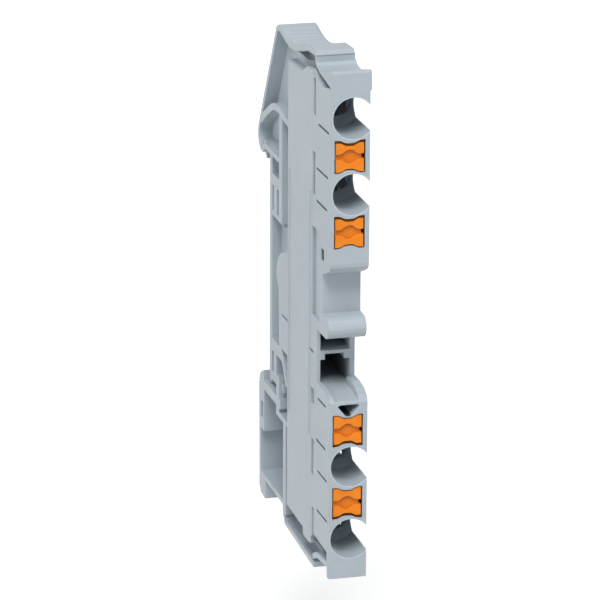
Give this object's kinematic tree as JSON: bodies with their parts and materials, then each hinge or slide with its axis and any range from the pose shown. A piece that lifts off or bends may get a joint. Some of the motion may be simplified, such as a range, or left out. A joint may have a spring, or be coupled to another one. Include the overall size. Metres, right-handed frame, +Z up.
{
  "type": "push-in terminal block",
  "caption": "Slim rail-mounted push-in terminal block: grey moulded housing, round wire entries, orange pushers, marker groove, bridge shafts and a ribbed release lever.",
  "frame": {"origin": "on the rail's centre line, in the plane of its flanges' front face, at the middle of the head's thickness", "axes": "+X along the rail towards the open side, +Y away from the user into the panel, +Z up across the rail"},
  "size_m": [0.006, 0.0405, 0.0755],
  "materials": {
    "housing_plastic": "moulded, fine matt texture",
    "pusher_plastic": "moulded, satin",
    "tinned_copper": "dull tin plating",
    "spring_steel": "rolled stainless strip"
  },
  "bodies": {
    "block": {"housing": "housing_plastic", "current_bar": "tinned_copper", "clamping_spring_1": "spring_steel", "clamping_spring_2": "spring_steel", "clamping_spring_3": "spring_steel", "clamping_spring_4": "spring_steel"},
    "pusher_1": {"pusher_1": "pusher_plastic"},
    "pusher_2": {"pusher_2": "pusher_plastic"},
    "pusher_3": {"pusher_3": "pusher_plastic"},
    "pusher_4": {"pusher_4": "pusher_plastic"}
  },
  "joints": [
    {"name": "pusher_1_press", "type": "slide", "parent": "block", "child": "pusher_1", "axis": [0, 1, 0], "range_m": [0, 0.002], "stiffness_N_per_m": 4000, "springref_m": -0.001, "deforming": ["clamping_spring_1"]},
    {"name": "pusher_2_press", "type": "slide", "parent": "block", "child": "pusher_2", "axis": [0, 1, 0], "range_m": [0, 0.002], "stiffness_N_per_m": 4000, "springref_m": -0.001, "deforming": ["clamping_spring_2"]},
    {"name": "pusher_3_press", "type": "slide", "parent": "block", "child": "pusher_3", "axis": [0, 1, 0], "range_m": [0, 0.002], "stiffness_N_per_m": 4000, "springref_m": -0.001, "deforming": ["clamping_spring_3"]},
    {"name": "pusher_4_press", "type": "slide", "parent": "block", "child": "pusher_4", "axis": [0, 1, 0], "range_m": [0, 0.002], "stiffness_N_per_m": 4000, "springref_m": -0.001, "deforming": ["clamping_spring_4"]}
  ]
}
